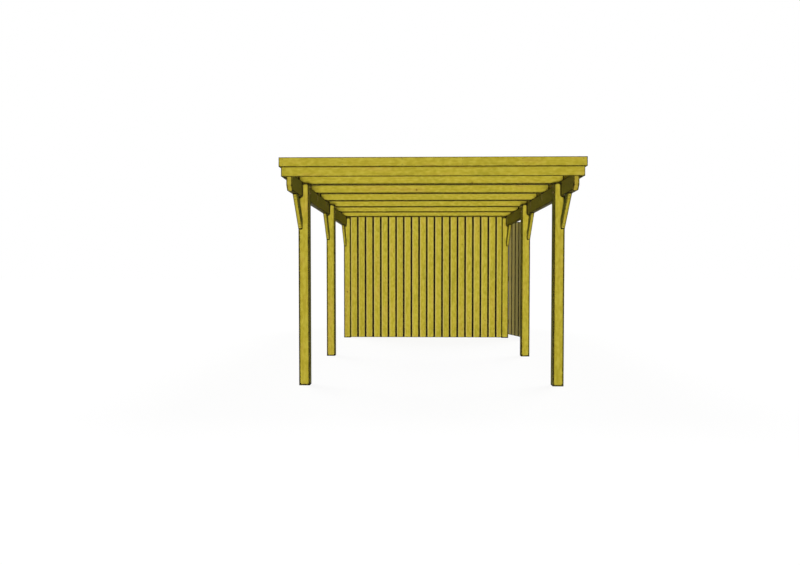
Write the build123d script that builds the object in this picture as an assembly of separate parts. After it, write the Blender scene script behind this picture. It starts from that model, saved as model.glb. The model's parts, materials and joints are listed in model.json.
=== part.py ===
"""Timber carport for one car, closed at the back by a boarded store with a side door.

Lengths are millimetres and angles are degrees. The carport is set out with X measured across it from
the middle of the drive, Y running back from the front faces of the first posts, and Z up from the
ground. The finished pieces are moved at the end, so that the origin is the middle of the front left
post's foot.
"""

from math import atan, cos, degrees, radians, sin, sqrt
import os

from build123d import *

# Set-out of the posts
drive_width = 2680
post_pitch = 2405
open_bays = 2
store_bays = 1
post_side = 120
post_top_drop = 18
timber_arris = 4

# Beams that run front to back, let into the outer sides of the posts
beam_width = 60
beam_height = 170
beam_stands_out = 20
beam_top_at_front = 2256
beam_nose = 50
beam_end_gap = 50
roof_fall = 0.0209

# Rafters across the beams
rafter_width = 60
rafter_height = 120
rafter_seat = 10
rafter_past_beam = 20
open_rafter_gaps = 6
store_rafter_gaps = 3
wall_head_gap = 3

# Braces between post and beam
brace_thickness = 45
brace_depth = 90
brace_drop = 360

# Fascia boards, an upper row fixed over the top half of a lower row
front_overhang = 692
fascia_thickness = 20
lower_fascia_height = 190
upper_fascia_height = 95
fascia_above_sheet = 5
board_arris = 2

# Profiled roof sheet
sheet_thickness = 0.75
sheet_pitch = 207
sheet_crest = 40
sheet_web = 24
sheet_depth = 35
sheet_side_gap = 10
sheet_front_gap = 5
sheet_into_gutter = 25
flashing_width = 60

# Box gutter behind the rear fascia
gutter_width = 96
gutter_depth = 60
gutter_metal = 1.5
gutter_below_sheet = 12
gutter_end_gap = 20

# Downpipe from the gutter's outlet, on two clips behind the rear right post
outlet_length = 45
pipe_radius = 25
pipe_play = 0.05
pipe_below_gutter = 6
pipe_beside_beam = 10
pipe_off_post = 20
swan_neck_middle = 2030
pipe_bend = 60
shoe_height = 230
shoe_length = 130
shoe_angle = 60
clip_heights = (450, 1800)
clip_height = 25
clip_metal = 2
clip_plate_width = 56
clip_stem_width = 12

# Store walls
board_thickness = 20
wall_above_ground = 8
head_below_rafter_top = 5
rail_thickness = 60
rail_height = 80
rail_bottoms = (110, 1010, 1850)

# Doorway and door
corner_wall_width = 274
leaf_width = 740
leaf_height = 2045
leaf_bottom = 15
leaf_off_beam = 5
stop_overlap = 20
stud_side = 80
hinge_stud_depth = 100
open_angle = 161
ledge_height = 100
ledge_thickness = 30
ledge_short_of_stop = 12
ledge_middles = (250, 1040, 1830)
leaf_brace_width = 90

# Butt hinges and door pull
hinge_height = 100
hinge_metal = 2
hinge_plate_gap = 8
frame_plate_width = 40
leaf_plate_width = 50
knuckle_radius = 6
knuckle_gap = 1
pin_radius = 3
pin_play = 0.05
pin_off_face = 7
pull_middle = 1050
pull_length = 160
pull_reach = 45
pull_rod_radius = 6
pull_bend = 14
pull_from_edge = 60
rose_radius = 16
rose_thickness = 4

# Places across the carport
sides = {"left": -1, "right": 1}
fall_angle = degrees(atan(roof_fall))
post_inner = drive_width / 2
post_outer = post_inner + post_side
beam_outer = post_outer + beam_stands_out
beam_inner = beam_outer - beam_width
rafter_end = beam_outer + rafter_past_beam
boards_inner = post_outer - board_thickness

# Places along the carport
post_rows = {"front": 0, "middle": post_pitch, "store": open_bays * post_pitch}
store_front = post_rows["store"]
store_post_back = store_front + post_side
rear_post_front = store_front + store_bays * post_pitch
rear_post_back = rear_post_front + post_side
roof_front = 2 * fascia_thickness - front_overhang
wall_rafter = store_front - wall_head_gap - rafter_width
rear_rafter = rear_post_back + wall_head_gap
gutter_front = rear_rafter + rafter_width
roof_back = gutter_front + gutter_width
sheet_front = roof_front + sheet_front_gap
sheet_back = gutter_front + sheet_into_gutter

# Heights in the roof's own frame, where 0 is the top of the beams
rafter_bottom = -rafter_seat
rafter_top = rafter_bottom + rafter_height
fascia_top = rafter_top + sheet_depth + fascia_above_sheet
gutter_top = rafter_top - gutter_below_sheet
gutter_bottom = gutter_top - gutter_depth


def bar(x, y, z, arris=0.0):
    """A straight timber between two limits on each axis, with its long edges eased."""
    sizes = [high - low for low, high in (x, y, z)]
    middle = [(low + high) / 2 for low, high in (x, y, z)]
    solid = Pos(*middle) * Box(*sizes)
    if arris:
        long_axis = (Axis.X, Axis.Y, Axis.Z)[sizes.index(max(sizes))]
        solid = chamfer(solid.edges().filter_by(long_axis), arris)
    return solid


def side_plate(outline, x):
    """An outline in Y and Z filled between two limits in X."""
    face = Plane.YZ.offset(x[0]) * make_face(Polyline(*outline, close=True))
    return extrude(face, amount=x[1] - x[0], dir=(1, 0, 0))


def on_side(side, inner, outer):
    """The limits in X of a piece between two distances from the middle, on the left or right."""
    return tuple(sorted((side * inner, side * outer)))


def roof_height(y, offset):
    """The height above ground, at y, of the plane that lies offset above the tops of the beams."""
    return beam_top_at_front - roof_fall * y + offset / cos(radians(fall_angle))


def pitched(shape):
    """Lays a piece, drawn level with the beams' tops at zero, to the fall of the roof."""
    return Pos(0, 0, beam_top_at_front) * Rot(-fall_angle, 0, 0) * shape


def upright_rod(at, radius, bottom, top):
    """A round rod about a vertical line, between two heights."""
    on_its_foot = (Align.CENTER, Align.CENTER, Align.MIN)
    return Pos(*at, bottom) * Cylinder(radius, top - bottom, align=on_its_foot)


def bent_rod(route, radius):
    """A round rod that follows a route."""
    return sweep(Plane(origin=route @ 0, z_dir=route % 0) * Circle(radius), path=route)


def long_edges_eased(solid):
    """A timber cut from an outline, with the four edges along its length eased."""
    return chamfer(solid.edges().sort_by(SortBy.LENGTH)[-4:], timber_arris)


def beam_blank(side):
    """One beam with square edges, the lower corner of both ends cut back."""
    front = roof_front + beam_end_gap
    back = roof_back - beam_end_gap
    outline = [
        (front, 0),
        (front, beam_nose - beam_height),
        (front + beam_nose, -beam_height),
        (back - beam_nose, -beam_height),
        (back, beam_nose - beam_height),
        (back, 0),
    ]
    return pitched(side_plate(outline, on_side(side, beam_inner, beam_outer)))


def beam(blank):
    """A beam with the edges of both side faces eased."""
    return chamfer(blank.faces().filter_by(Axis.X).edges(), timber_arris)


def post(side, front, own_beam_blank):
    """A post on the ground, notched from its outer side so that the beam sits on a shoulder."""
    top = roof_height(front + post_side, 0) - post_top_drop
    whole = bar(on_side(side, post_inner, post_outer), (front, front + post_side), (0, top), timber_arris)
    return whole - own_beam_blank


def brace(side, front):
    """A brace at 45 degrees from a post's front face up to the underside of the beam."""
    underside = roof_height(front, -beam_height)
    toe = underside - brace_drop
    heel = toe + brace_depth * sqrt(2)
    toe_run = (underside - toe) / (1 - roof_fall)
    heel_run = (underside - heel) / (1 - roof_fall)
    outline = [
        (front, toe),
        (front, heel),
        (front - heel_run, heel + heel_run),
        (front - toe_run, toe + toe_run),
    ]
    return long_edges_eased(side_plate(outline, on_side(side, post_outer - brace_thickness, post_outer)))


def rafter_fronts():
    """The front face of each rafter: one behind the front fascia, one at the head of each wall."""
    open_step = (wall_rafter - roof_front) / open_rafter_gaps
    store_step = (rear_rafter - wall_rafter) / store_rafter_gaps
    over_drive = [roof_front + open_step * step for step in range(open_rafter_gaps)]
    over_store = [wall_rafter + store_step * step for step in range(store_rafter_gaps + 1)]
    return over_drive + over_store


def rafter(front):
    """A rafter, notched over both beams."""
    across = (-rafter_end, rafter_end)
    along = (front, front + rafter_width)
    solid = bar(across, along, (rafter_bottom, rafter_top), timber_arris)
    for side in sides.values():
        solid -= bar(on_side(side, beam_inner, beam_outer), along, (rafter_bottom, 0))
    return pitched(solid)


def fascia_row(stand_off, height):
    """Four boards round the roof: the front and rear ones cover the ends of the side ones."""
    inner = rafter_end + stand_off
    outer = inner + fascia_thickness
    front = roof_front - stand_off
    back = roof_back + stand_off
    upright = (fascia_top - height, fascia_top)
    return {
        "front": pitched(bar((-outer, outer), (front - fascia_thickness, front), upright, board_arris)),
        "rear": pitched(bar((-outer, outer), (back, back + fascia_thickness), upright, board_arris)),
        "left": pitched(bar((-outer, -inner), (front, back), upright, board_arris)),
        "right": pitched(bar((inner, outer), (front, back), upright, board_arris)),
    }


def roof_sheet():
    """A trapezoidal sheet over the rafters, its ribs running down the fall."""
    half = rafter_end - sheet_side_gap
    ribs = int(2 * half // sheet_pitch)
    top_line = [(-half, sheet_thickness)]
    for rib in range(ribs):
        middle = (rib - (ribs - 1) / 2) * sheet_pitch
        head = sheet_crest / 2
        foot = head + sheet_web
        top_line += [
            (middle - foot, sheet_thickness),
            (middle - head, sheet_depth),
            (middle + head, sheet_depth),
            (middle + foot, sheet_thickness),
        ]
    top_line.append((half, sheet_thickness))
    under_line = [(x, z - sheet_thickness) for x, z in reversed(top_line)]
    section = Plane.XZ.offset(-sheet_front) * make_face(Polyline(*top_line, *under_line, close=True))
    return pitched(Pos(0, 0, rafter_top) * extrude(section, amount=sheet_back - sheet_front, dir=(0, 1, 0)))


# The outlet and the pipe stand beside the right beam, and the pipe comes back to the post under the roof
pipe_x = beam_inner - pipe_beside_beam - pipe_radius
pipe_y = rear_post_back + pipe_off_post + pipe_radius
outlet_y = (gutter_front + roof_back) / 2
outlet_height = roof_height(outlet_y, gutter_bottom)
outlet_radius = pipe_radius - gutter_metal - pipe_play


def edge_flashings():
    """Two folded strips that lie on the sheet's edges and turn up the side boards."""
    low = rafter_top + sheet_thickness
    strips = []
    for side in sides.values():
        flat = bar(
            on_side(side, rafter_end - flashing_width, rafter_end),
            (sheet_front, sheet_back),
            (low, low + sheet_thickness),
        )
        upstand = bar(
            on_side(side, rafter_end - sheet_thickness, rafter_end),
            (sheet_front, sheet_back),
            (low, rafter_top + sheet_depth),
        )
        strips.append(pitched(flat + upstand))
    return Compound(strips)


def gutter():
    """A folded box gutter, hung on the last rafter, with closed ends and a soldered outlet."""
    half = rafter_end - gutter_end_gap
    trough = pitched(bar((-half, half), (gutter_front, roof_back), (gutter_bottom, gutter_top)))
    hollow = pitched(bar(
        (gutter_metal - half, half - gutter_metal),
        (gutter_front + gutter_metal, roof_back - gutter_metal),
        (gutter_bottom + gutter_metal, gutter_top),
    ))
    foot = outlet_height - outlet_length
    head = outlet_height + gutter_depth / 2
    outlet = upright_rod((pipe_x, outlet_y), outlet_radius, foot, head)
    bore = upright_rod((pipe_x, outlet_y), outlet_radius - gutter_metal, foot, head)
    return trough + outlet - hollow - bore


def downpipe():
    """A round pipe slipped over the outlet, with a swan neck back to the post and a shoe at its foot."""
    set_back = outlet_y - pipe_y
    lean = radians(shoe_angle)
    places = [
        (outlet_y, outlet_height - pipe_below_gutter),
        (outlet_y, swan_neck_middle + set_back / 2),
        (pipe_y, swan_neck_middle - set_back / 2),
        (pipe_y, shoe_height),
        (pipe_y + shoe_length * sin(lean), shoe_height - shoe_length * cos(lean)),
    ]
    route = FilletPolyline(*[(pipe_x, y, z) for y, z in places], radius=pipe_bend)
    return bent_rod(route, pipe_radius) - bent_rod(route, pipe_radius - gutter_metal)


def downpipe_clips():
    """Two rings round the pipe, each on a stem and a plate screwed to the post."""
    clips = []
    for middle in clip_heights:
        low = middle - clip_height / 2
        high = middle + clip_height / 2
        half_plate = clip_plate_width / 2
        half_stem = clip_stem_width / 2
        plate = bar(
            (pipe_x - half_plate, pipe_x + half_plate),
            (rear_post_back, rear_post_back + clip_metal),
            (low, high),
        )
        stem = bar((pipe_x - half_stem, pipe_x + half_stem), (rear_post_back, pipe_y), (low, high))
        ring = upright_rod((pipe_x, pipe_y), pipe_radius + pipe_play + clip_metal, low, high)
        pipe_room = upright_rod((pipe_x, pipe_y), pipe_radius + pipe_play, low, high)
        clips.append(plate + stem + ring - pipe_room)
    return Compound(clips)


def cross_wall(front):
    """Upright boards between two posts, from just off the ground up to the roof sheet."""
    back = front + board_thickness
    head = roof_height(back, rafter_top - head_below_rafter_top)
    return bar((-post_inner, post_inner), (front, back), (wall_above_ground, head))


def under_beam(x, front, back, bottom):
    """An upright piece whose top is cut to the slope of the beam it meets."""
    outline = [
        (front, bottom),
        (back, bottom),
        (back, roof_height(back, -beam_height)),
        (front, roof_height(front, -beam_height)),
    ]
    return side_plate(outline, x)


def side_wall(side, front, back):
    """Upright boards flush with the posts' outer faces, up to the beam."""
    return under_beam(on_side(side, boards_inner, post_outer), front, back, wall_above_ground)


def wall_rails():
    """The rails that the boards are nailed to: three inside each wall, cut between the posts."""
    across = (-post_inner, post_inner)
    front_rail = (store_front + board_thickness, store_front + board_thickness + rail_thickness)
    rear_rail = (rear_post_back - board_thickness - rail_thickness, rear_post_back - board_thickness)
    left_rail = on_side(sides["left"], boards_inner - rail_thickness, boards_inner)
    right_rail = on_side(sides["right"], boards_inner - rail_thickness, boards_inner)
    rails = []
    for bottom in rail_bottoms:
        upright = (bottom, bottom + rail_height)
        rails.append(bar(across, front_rail, upright, timber_arris))
        rails.append(bar(across, rear_rail, upright, timber_arris))
        rails.append(bar(left_rail, (store_post_back, rear_post_front), upright, timber_arris))
        rails.append(bar(right_rail, (store_post_back, hinge_stud_front), upright, timber_arris))
        rails.append(bar(right_rail, (right_wall_front, rear_post_front), upright, timber_arris))
    return Compound(rails)


# The door is drawn closed, over the faces of the beam and the door stud, and then turned about its pins
hinge_stud_front = store_post_back + corner_wall_width
doorway_front = hinge_stud_front + stud_side
leaf_front = doorway_front + 2 * hinge_metal + hinge_plate_gap
leaf_back = leaf_front + leaf_width
leaf_inner = beam_outer + leaf_off_beam
leaf_outer = leaf_inner + board_thickness
doorway_back = leaf_back - stop_overlap
right_wall_front = doorway_back + stud_side
ledge_inner = leaf_inner - ledge_thickness
ledge_back = doorway_back - ledge_short_of_stop
pin_x = leaf_outer + pin_off_face
pin_y = (doorway_front + leaf_front) / 2
pin = (pin_x, pin_y)


def swung(shape):
    """Turns a piece of the closed door about the hinge pins to where the door stands open."""
    return Pos(pin_x, pin_y, 0) * Rot(0, 0, -open_angle) * Pos(-pin_x, -pin_y, 0) * shape


def hinge_stud():
    """The stud that carries the hinges, as far out as the door's face."""
    across = (leaf_outer - hinge_stud_depth, leaf_outer)
    return long_edges_eased(under_beam(across, hinge_stud_front, doorway_front, 0))


def door_stud():
    """The stud that the door closes over, flush with the beam's outer face."""
    across = (beam_outer - stud_side, beam_outer)
    return long_edges_eased(under_beam(across, doorway_back, right_wall_front, 0))


def door_boards():
    """The face of the door."""
    return bar((leaf_inner, leaf_outer), (leaf_front, leaf_back), (leaf_bottom, leaf_bottom + leaf_height))


def door_ledges():
    """Three ledges across the inner side of the boards."""
    ledges = []
    for middle in ledge_middles:
        upright = (middle - ledge_height / 2, middle + ledge_height / 2)
        ledges.append(bar((ledge_inner, leaf_inner), (leaf_front, ledge_back), upright, timber_arris))
    return Compound(ledges)


def door_braces():
    """Two braces that climb from the hinge side, cut level against the ledges."""
    braces = []
    for low_ledge, high_ledge in zip(ledge_middles, ledge_middles[1:]):
        low = low_ledge + ledge_height / 2
        high = high_ledge - ledge_height / 2
        run = ledge_back - leaf_front - leaf_brace_width
        cut = leaf_brace_width * sqrt(1 + (run / (high - low)) ** 2)
        outline = [
            (leaf_front, low),
            (leaf_front + cut, low),
            (ledge_back, high),
            (ledge_back - cut, high),
        ]
        braces.append(long_edges_eased(side_plate(outline, (ledge_inner, leaf_inner))))
    return Compound(braces)


def frame_hinge(middle):
    """The half of a hinge on the stud: a plate, its two outer knuckles and the pin."""
    bottom = middle - hinge_height / 2
    top = middle + hinge_height / 2
    third = hinge_height / 3
    plate = bar(
        (pin_x - frame_plate_width, pin_x),
        (doorway_front, doorway_front + hinge_metal),
        (bottom, top),
    )
    clear_of_leaf = upright_rod(pin, knuckle_radius + knuckle_gap, bottom + third, top - third)
    low_knuckle = upright_rod(pin, knuckle_radius, bottom, bottom + third)
    high_knuckle = upright_rod(pin, knuckle_radius, top - third, top)
    return plate - clear_of_leaf + low_knuckle + high_knuckle + upright_rod(pin, pin_radius, bottom, top)


def leaf_hinge(middle):
    """The half of a hinge on the edge of the leaf: a plate and the middle knuckle."""
    bottom = middle - hinge_height / 2
    top = middle + hinge_height / 2
    low = bottom + hinge_height / 3
    high = top - hinge_height / 3
    plate = bar((pin_x - leaf_plate_width, pin_x), (leaf_front - hinge_metal, leaf_front), (bottom, top))
    plate -= upright_rod(pin, knuckle_radius + knuckle_gap, bottom, low + knuckle_gap)
    plate -= upright_rod(pin, knuckle_radius + knuckle_gap, high - knuckle_gap, top)
    knuckle = upright_rod(pin, knuckle_radius, low + knuckle_gap, high - knuckle_gap)
    return plate + knuckle - upright_rod(pin, pin_radius + pin_play, bottom, top)


def door_pull():
    """A bent round bar on two roses, near the free edge of the leaf."""
    y = leaf_back - pull_from_edge
    low = pull_middle - pull_length / 2
    high = pull_middle + pull_length / 2
    grip_x = leaf_outer + pull_reach
    route = FilletPolyline((leaf_outer, y, low), (grip_x, y, low), (grip_x, y, high), (leaf_outer, y, high),
                           radius=pull_bend)
    pull = bent_rod(route, pull_rod_radius)
    rose = Rot(0, 90, 0) * Cylinder(rose_radius, rose_thickness)
    for height in (low, high):
        pull += Pos(leaf_outer + rose_thickness / 2, y, height) * rose
    return pull


pieces = {}
beam_blanks = {name: beam_blank(side) for name, side in sides.items()}
for name, side in sides.items():
    pieces[f"beam_{name}"] = beam(beam_blanks[name])
    pieces[f"post_rear_{name}"] = post(side, rear_post_front, beam_blanks[name])
    for row, front in post_rows.items():
        pieces[f"post_{row}_{name}"] = post(side, front, beam_blanks[name])
        pieces[f"brace_{row}_{name}"] = brace(side, front)
for number, front in enumerate(rafter_fronts(), start=1):
    pieces[f"rafter_{number}"] = rafter(front)
for name, board in fascia_row(0, lower_fascia_height).items():
    pieces[f"lower_fascia_{name}"] = board
for name, board in fascia_row(fascia_thickness, upper_fascia_height).items():
    pieces[f"upper_fascia_{name}"] = board
pieces["roof_sheet"] = roof_sheet()
pieces["edge_flashings"] = edge_flashings()
pieces["gutter"] = gutter()
pieces["downpipe"] = downpipe()
pieces["downpipe_clips"] = downpipe_clips()
pieces["store_front_wall"] = cross_wall(store_front)
pieces["store_rear_wall"] = cross_wall(rear_post_back - board_thickness)
pieces["store_left_wall"] = side_wall(sides["left"], store_post_back, rear_post_front)
pieces["store_corner_wall"] = side_wall(sides["right"], store_post_back, hinge_stud_front)
pieces["store_right_wall"] = side_wall(sides["right"], right_wall_front, rear_post_front)
pieces["wall_rails"] = wall_rails()
pieces["hinge_stud"] = hinge_stud()
pieces["door_stud"] = door_stud()
pieces["door_boards"] = swung(door_boards())
pieces["door_ledges"] = swung(door_ledges())
pieces["door_braces"] = swung(door_braces())
pieces["door_pull"] = swung(door_pull())
pieces["hinges_on_post"] = Compound([frame_hinge(middle) for middle in ledge_middles])
pieces["hinges_on_door"] = swung(Compound([leaf_hinge(middle) for middle in ledge_middles]))

os.makedirs("parts", exist_ok=True)
to_origin = Pos(post_inner + post_side / 2, -post_side / 2, 0)
for name, piece in pieces.items():
    export_step(to_origin * piece, f"parts/{name}.step")
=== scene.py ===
"""Timber carport for one car, with a boarded store across its back and a door that stands open.

The framing timbers, roof sheet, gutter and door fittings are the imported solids, given their finish here.
The wall and door boards and all the fixings are built here around them. Lengths are metres, in the frame
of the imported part: X across the front, Y back from the front posts and Z up from the ground.
"""

import json
import math
import random

import bmesh
import bpy
from mathutils import Euler, Matrix, Vector


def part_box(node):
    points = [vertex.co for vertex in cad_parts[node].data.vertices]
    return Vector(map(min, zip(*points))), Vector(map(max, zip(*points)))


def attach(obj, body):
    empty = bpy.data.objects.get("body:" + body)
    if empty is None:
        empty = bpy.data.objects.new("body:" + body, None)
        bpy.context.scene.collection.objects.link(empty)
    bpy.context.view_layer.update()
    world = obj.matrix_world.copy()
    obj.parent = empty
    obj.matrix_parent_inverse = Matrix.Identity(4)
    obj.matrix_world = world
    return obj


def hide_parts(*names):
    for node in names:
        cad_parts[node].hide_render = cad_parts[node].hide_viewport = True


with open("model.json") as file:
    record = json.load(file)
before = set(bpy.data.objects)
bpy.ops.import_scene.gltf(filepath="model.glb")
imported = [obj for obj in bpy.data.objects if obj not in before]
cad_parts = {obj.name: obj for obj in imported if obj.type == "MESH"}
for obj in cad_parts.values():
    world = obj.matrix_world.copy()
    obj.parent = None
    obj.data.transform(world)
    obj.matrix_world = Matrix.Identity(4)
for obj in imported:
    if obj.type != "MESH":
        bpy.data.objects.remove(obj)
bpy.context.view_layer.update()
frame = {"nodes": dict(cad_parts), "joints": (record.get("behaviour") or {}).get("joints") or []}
nodes = frame["nodes"]


# View
# The carport is seen from 7.8 m in front of its posts, by an eye 1.4 m up and a little left of the middle.
eye = (1.2588, -7.8816, 1.4026)
eye_lens_mm = 32.0
film_width_mm = 36.0
eye_pitch_down = 0.0332
eye_turn_left = 0.0254

camera_data = bpy.data.cameras.new("camera")
camera_data.lens = eye_lens_mm
camera_data.sensor_width = film_width_mm
camera = bpy.data.objects.new("camera", camera_data)
camera.location = eye
camera.rotation_euler = (math.pi / 2 - eye_pitch_down, 0, eye_turn_left)
bpy.context.scene.collection.objects.link(camera)
bpy.context.scene.camera = camera
bpy.context.scene.view_settings.view_transform = "Standard"


# Studio light
# A wide softbox stands behind the eye, so that what faces the eye is evenly lit to the back wall. Two high
# lamps behind the carport and a pale dome light its sides, back and roof. Around it all is plain white.
front_box_size = (1.8, 1.0)
front_box_behind_eye = 1.6
front_box_below_eye = 0.6
front_box_strength = 7.6
rear_lamp_strength = 2.0
rear_lamp_height = math.radians(42)
rear_lamp_spread = math.radians(35)
dome_strength = 0.06


def add(tree, kind, inputs=None, **settings):
    """Adds a node with its settings. An input is given as a value or as the output that feeds it."""
    node = tree.nodes.new(kind)
    for name, value in settings.items():
        setattr(node, name, value)
    for key, value in (inputs or {}).items():
        if isinstance(value, bpy.types.NodeSocket):
            tree.links.new(value, node.inputs[key])
        else:
            node.inputs[key].default_value = value
    return node


def seen_directly(tree):
    """1 for rays from the eye, and for those that gloss and glass send on, and 0 for light."""
    rays = add(tree, "ShaderNodeLightPath")
    shine = add(tree, "ShaderNodeMath", {0: rays.outputs["Is Camera Ray"], 1: rays.outputs["Is Glossy Ray"]},
                operation="MAXIMUM")
    return add(tree, "ShaderNodeMath", {0: shine.outputs[0], 1: rays.outputs["Is Transmission Ray"]},
               operation="MAXIMUM").outputs[0]


box_data = bpy.data.lights.new("front_softbox", "AREA")
box_data.shape = "RECTANGLE"
box_data.size, box_data.size_y = front_box_size
box_data.energy = 1.0
box_data.use_nodes = True
box_tree = box_data.node_tree
even = add(box_tree, "ShaderNodeLightFalloff", {"Strength": front_box_strength})
box_tree.links.new(even.outputs["Constant"], box_tree.nodes["Emission"].inputs["Strength"])
front_box = bpy.data.objects.new("front_softbox", box_data)
front_box.location = (eye[0], eye[1] - front_box_behind_eye, eye[2] - front_box_below_eye)
front_box.rotation_euler = (math.pi / 2, 0, 0)
bpy.context.scene.collection.objects.link(front_box)

for name, turn in (("rear_left_lamp", -135), ("rear_right_lamp", 135)):
    lamp_data = bpy.data.lights.new(name, "SUN")
    lamp_data.energy = rear_lamp_strength
    lamp_data.angle = rear_lamp_spread
    lamp = bpy.data.objects.new(name, lamp_data)
    lamp.rotation_euler = (math.pi / 2 - rear_lamp_height, 0, math.radians(turn))
    bpy.context.scene.collection.objects.link(lamp)

world = bpy.data.worlds.new("studio")
world.use_nodes = True
bpy.context.scene.world = world
sky = world.node_tree
sky.nodes.clear()
dome = add(sky, "ShaderNodeBackground", {"Color": (1, 1, 1, 1), "Strength": dome_strength})
white = add(sky, "ShaderNodeBackground", {"Color": (1, 1, 1, 1), "Strength": 1.0})
room = add(sky, "ShaderNodeMixShader", {0: seen_directly(sky), 1: dome.outputs[0], 2: white.outputs[0]})
add(sky, "ShaderNodeOutputWorld", {"Surface": room.outputs[0]})


# Posts
# Eight posts of planed pine, 12 by 12 cm, stand on the ground. They are pressure treated, which leaves
# them yellow with a green cast. Their sides are painted a darker olive, as painted shade. Each is cut from
# its own part of a tree.

# Sizes of the marks in the wood, and how far the painted shade reaches from a crevice and from a cut edge
ring_width = 0.007
ring_crook = 0.035
crook_width = 0.25
crook_length = 1.1
late_wood_from = 0.3
late_wood_full = 0.88
late_wood_end = 0.98
blotch_length = 0.5
blotch_width = 0.12
fleck_length = 0.06
fleck_width = 0.028
streak_width = 0.016
streak_length = 40 * streak_width
fibre_width = 0.0022
fibre_length = 60 * fibre_width
knot_spacing = (0.14, 0.14, 0.62)
knot_radius = 0.011
crevice_reach = 0.028
timber_arris_reach = 0.030
board_arris_reach = 0.012

# The most that each mark turns the colour of the wood
late_wood_share = 0.55
tan_share = 0.6
olive_share = 0.55
dark_fleck_share = 0.4
pale_fleck_share = 0.5
streak_share = 0.35
fibre_share = 0.25
knot_share = 0.75
end_share = 0.5
crevice_share = 0.9
arris_share = 0.97
pine_roughness = (0.58, 0.72)

# Colours, from the pale early wood to the painted shade at a cut edge
pine_early = "#D0BF3E"
pine_pale = "#D9CA4C"
pine_late = "#AC9A21"
pine_tan = "#D0AF4C"
pine_olive = "#A9A029"
pine_sapwood = "#DCC96A"
pine_knot = "#6B4A1C"
pine_end = "#B8A33A"
# Painted shade: the dark olive that the sides of posts, beams and braces are turned towards
pine_side_shade = "#565E26"
# Painted shade: the dark colour that undersides are turned towards
pine_underside_shade = "#33330F"
# Painted light: the paler, greyer colour that the outer face of the door boards is turned towards
pine_painted_pale = "#D6CC90"
# Painted shade: the near black of the faces inside the shadow gaps
pine_gap_shade = "#120D03"
# Painted shade in crevices where timbers meet, and along their edges as dark outlines
pine_crevice_shade = "#120E04"
pine_edge_shade = "#0E0B03"


def srgb(code):
    """A hex colour as linear light, for a shader's socket."""
    shares = [int(code[start:start + 2], 16) / 255 for start in (1, 3, 5)]
    return [s / 12.92 if s <= 0.04045 else ((s + 0.055) / 1.055) ** 2.4 for s in shares] + [1.0]


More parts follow.
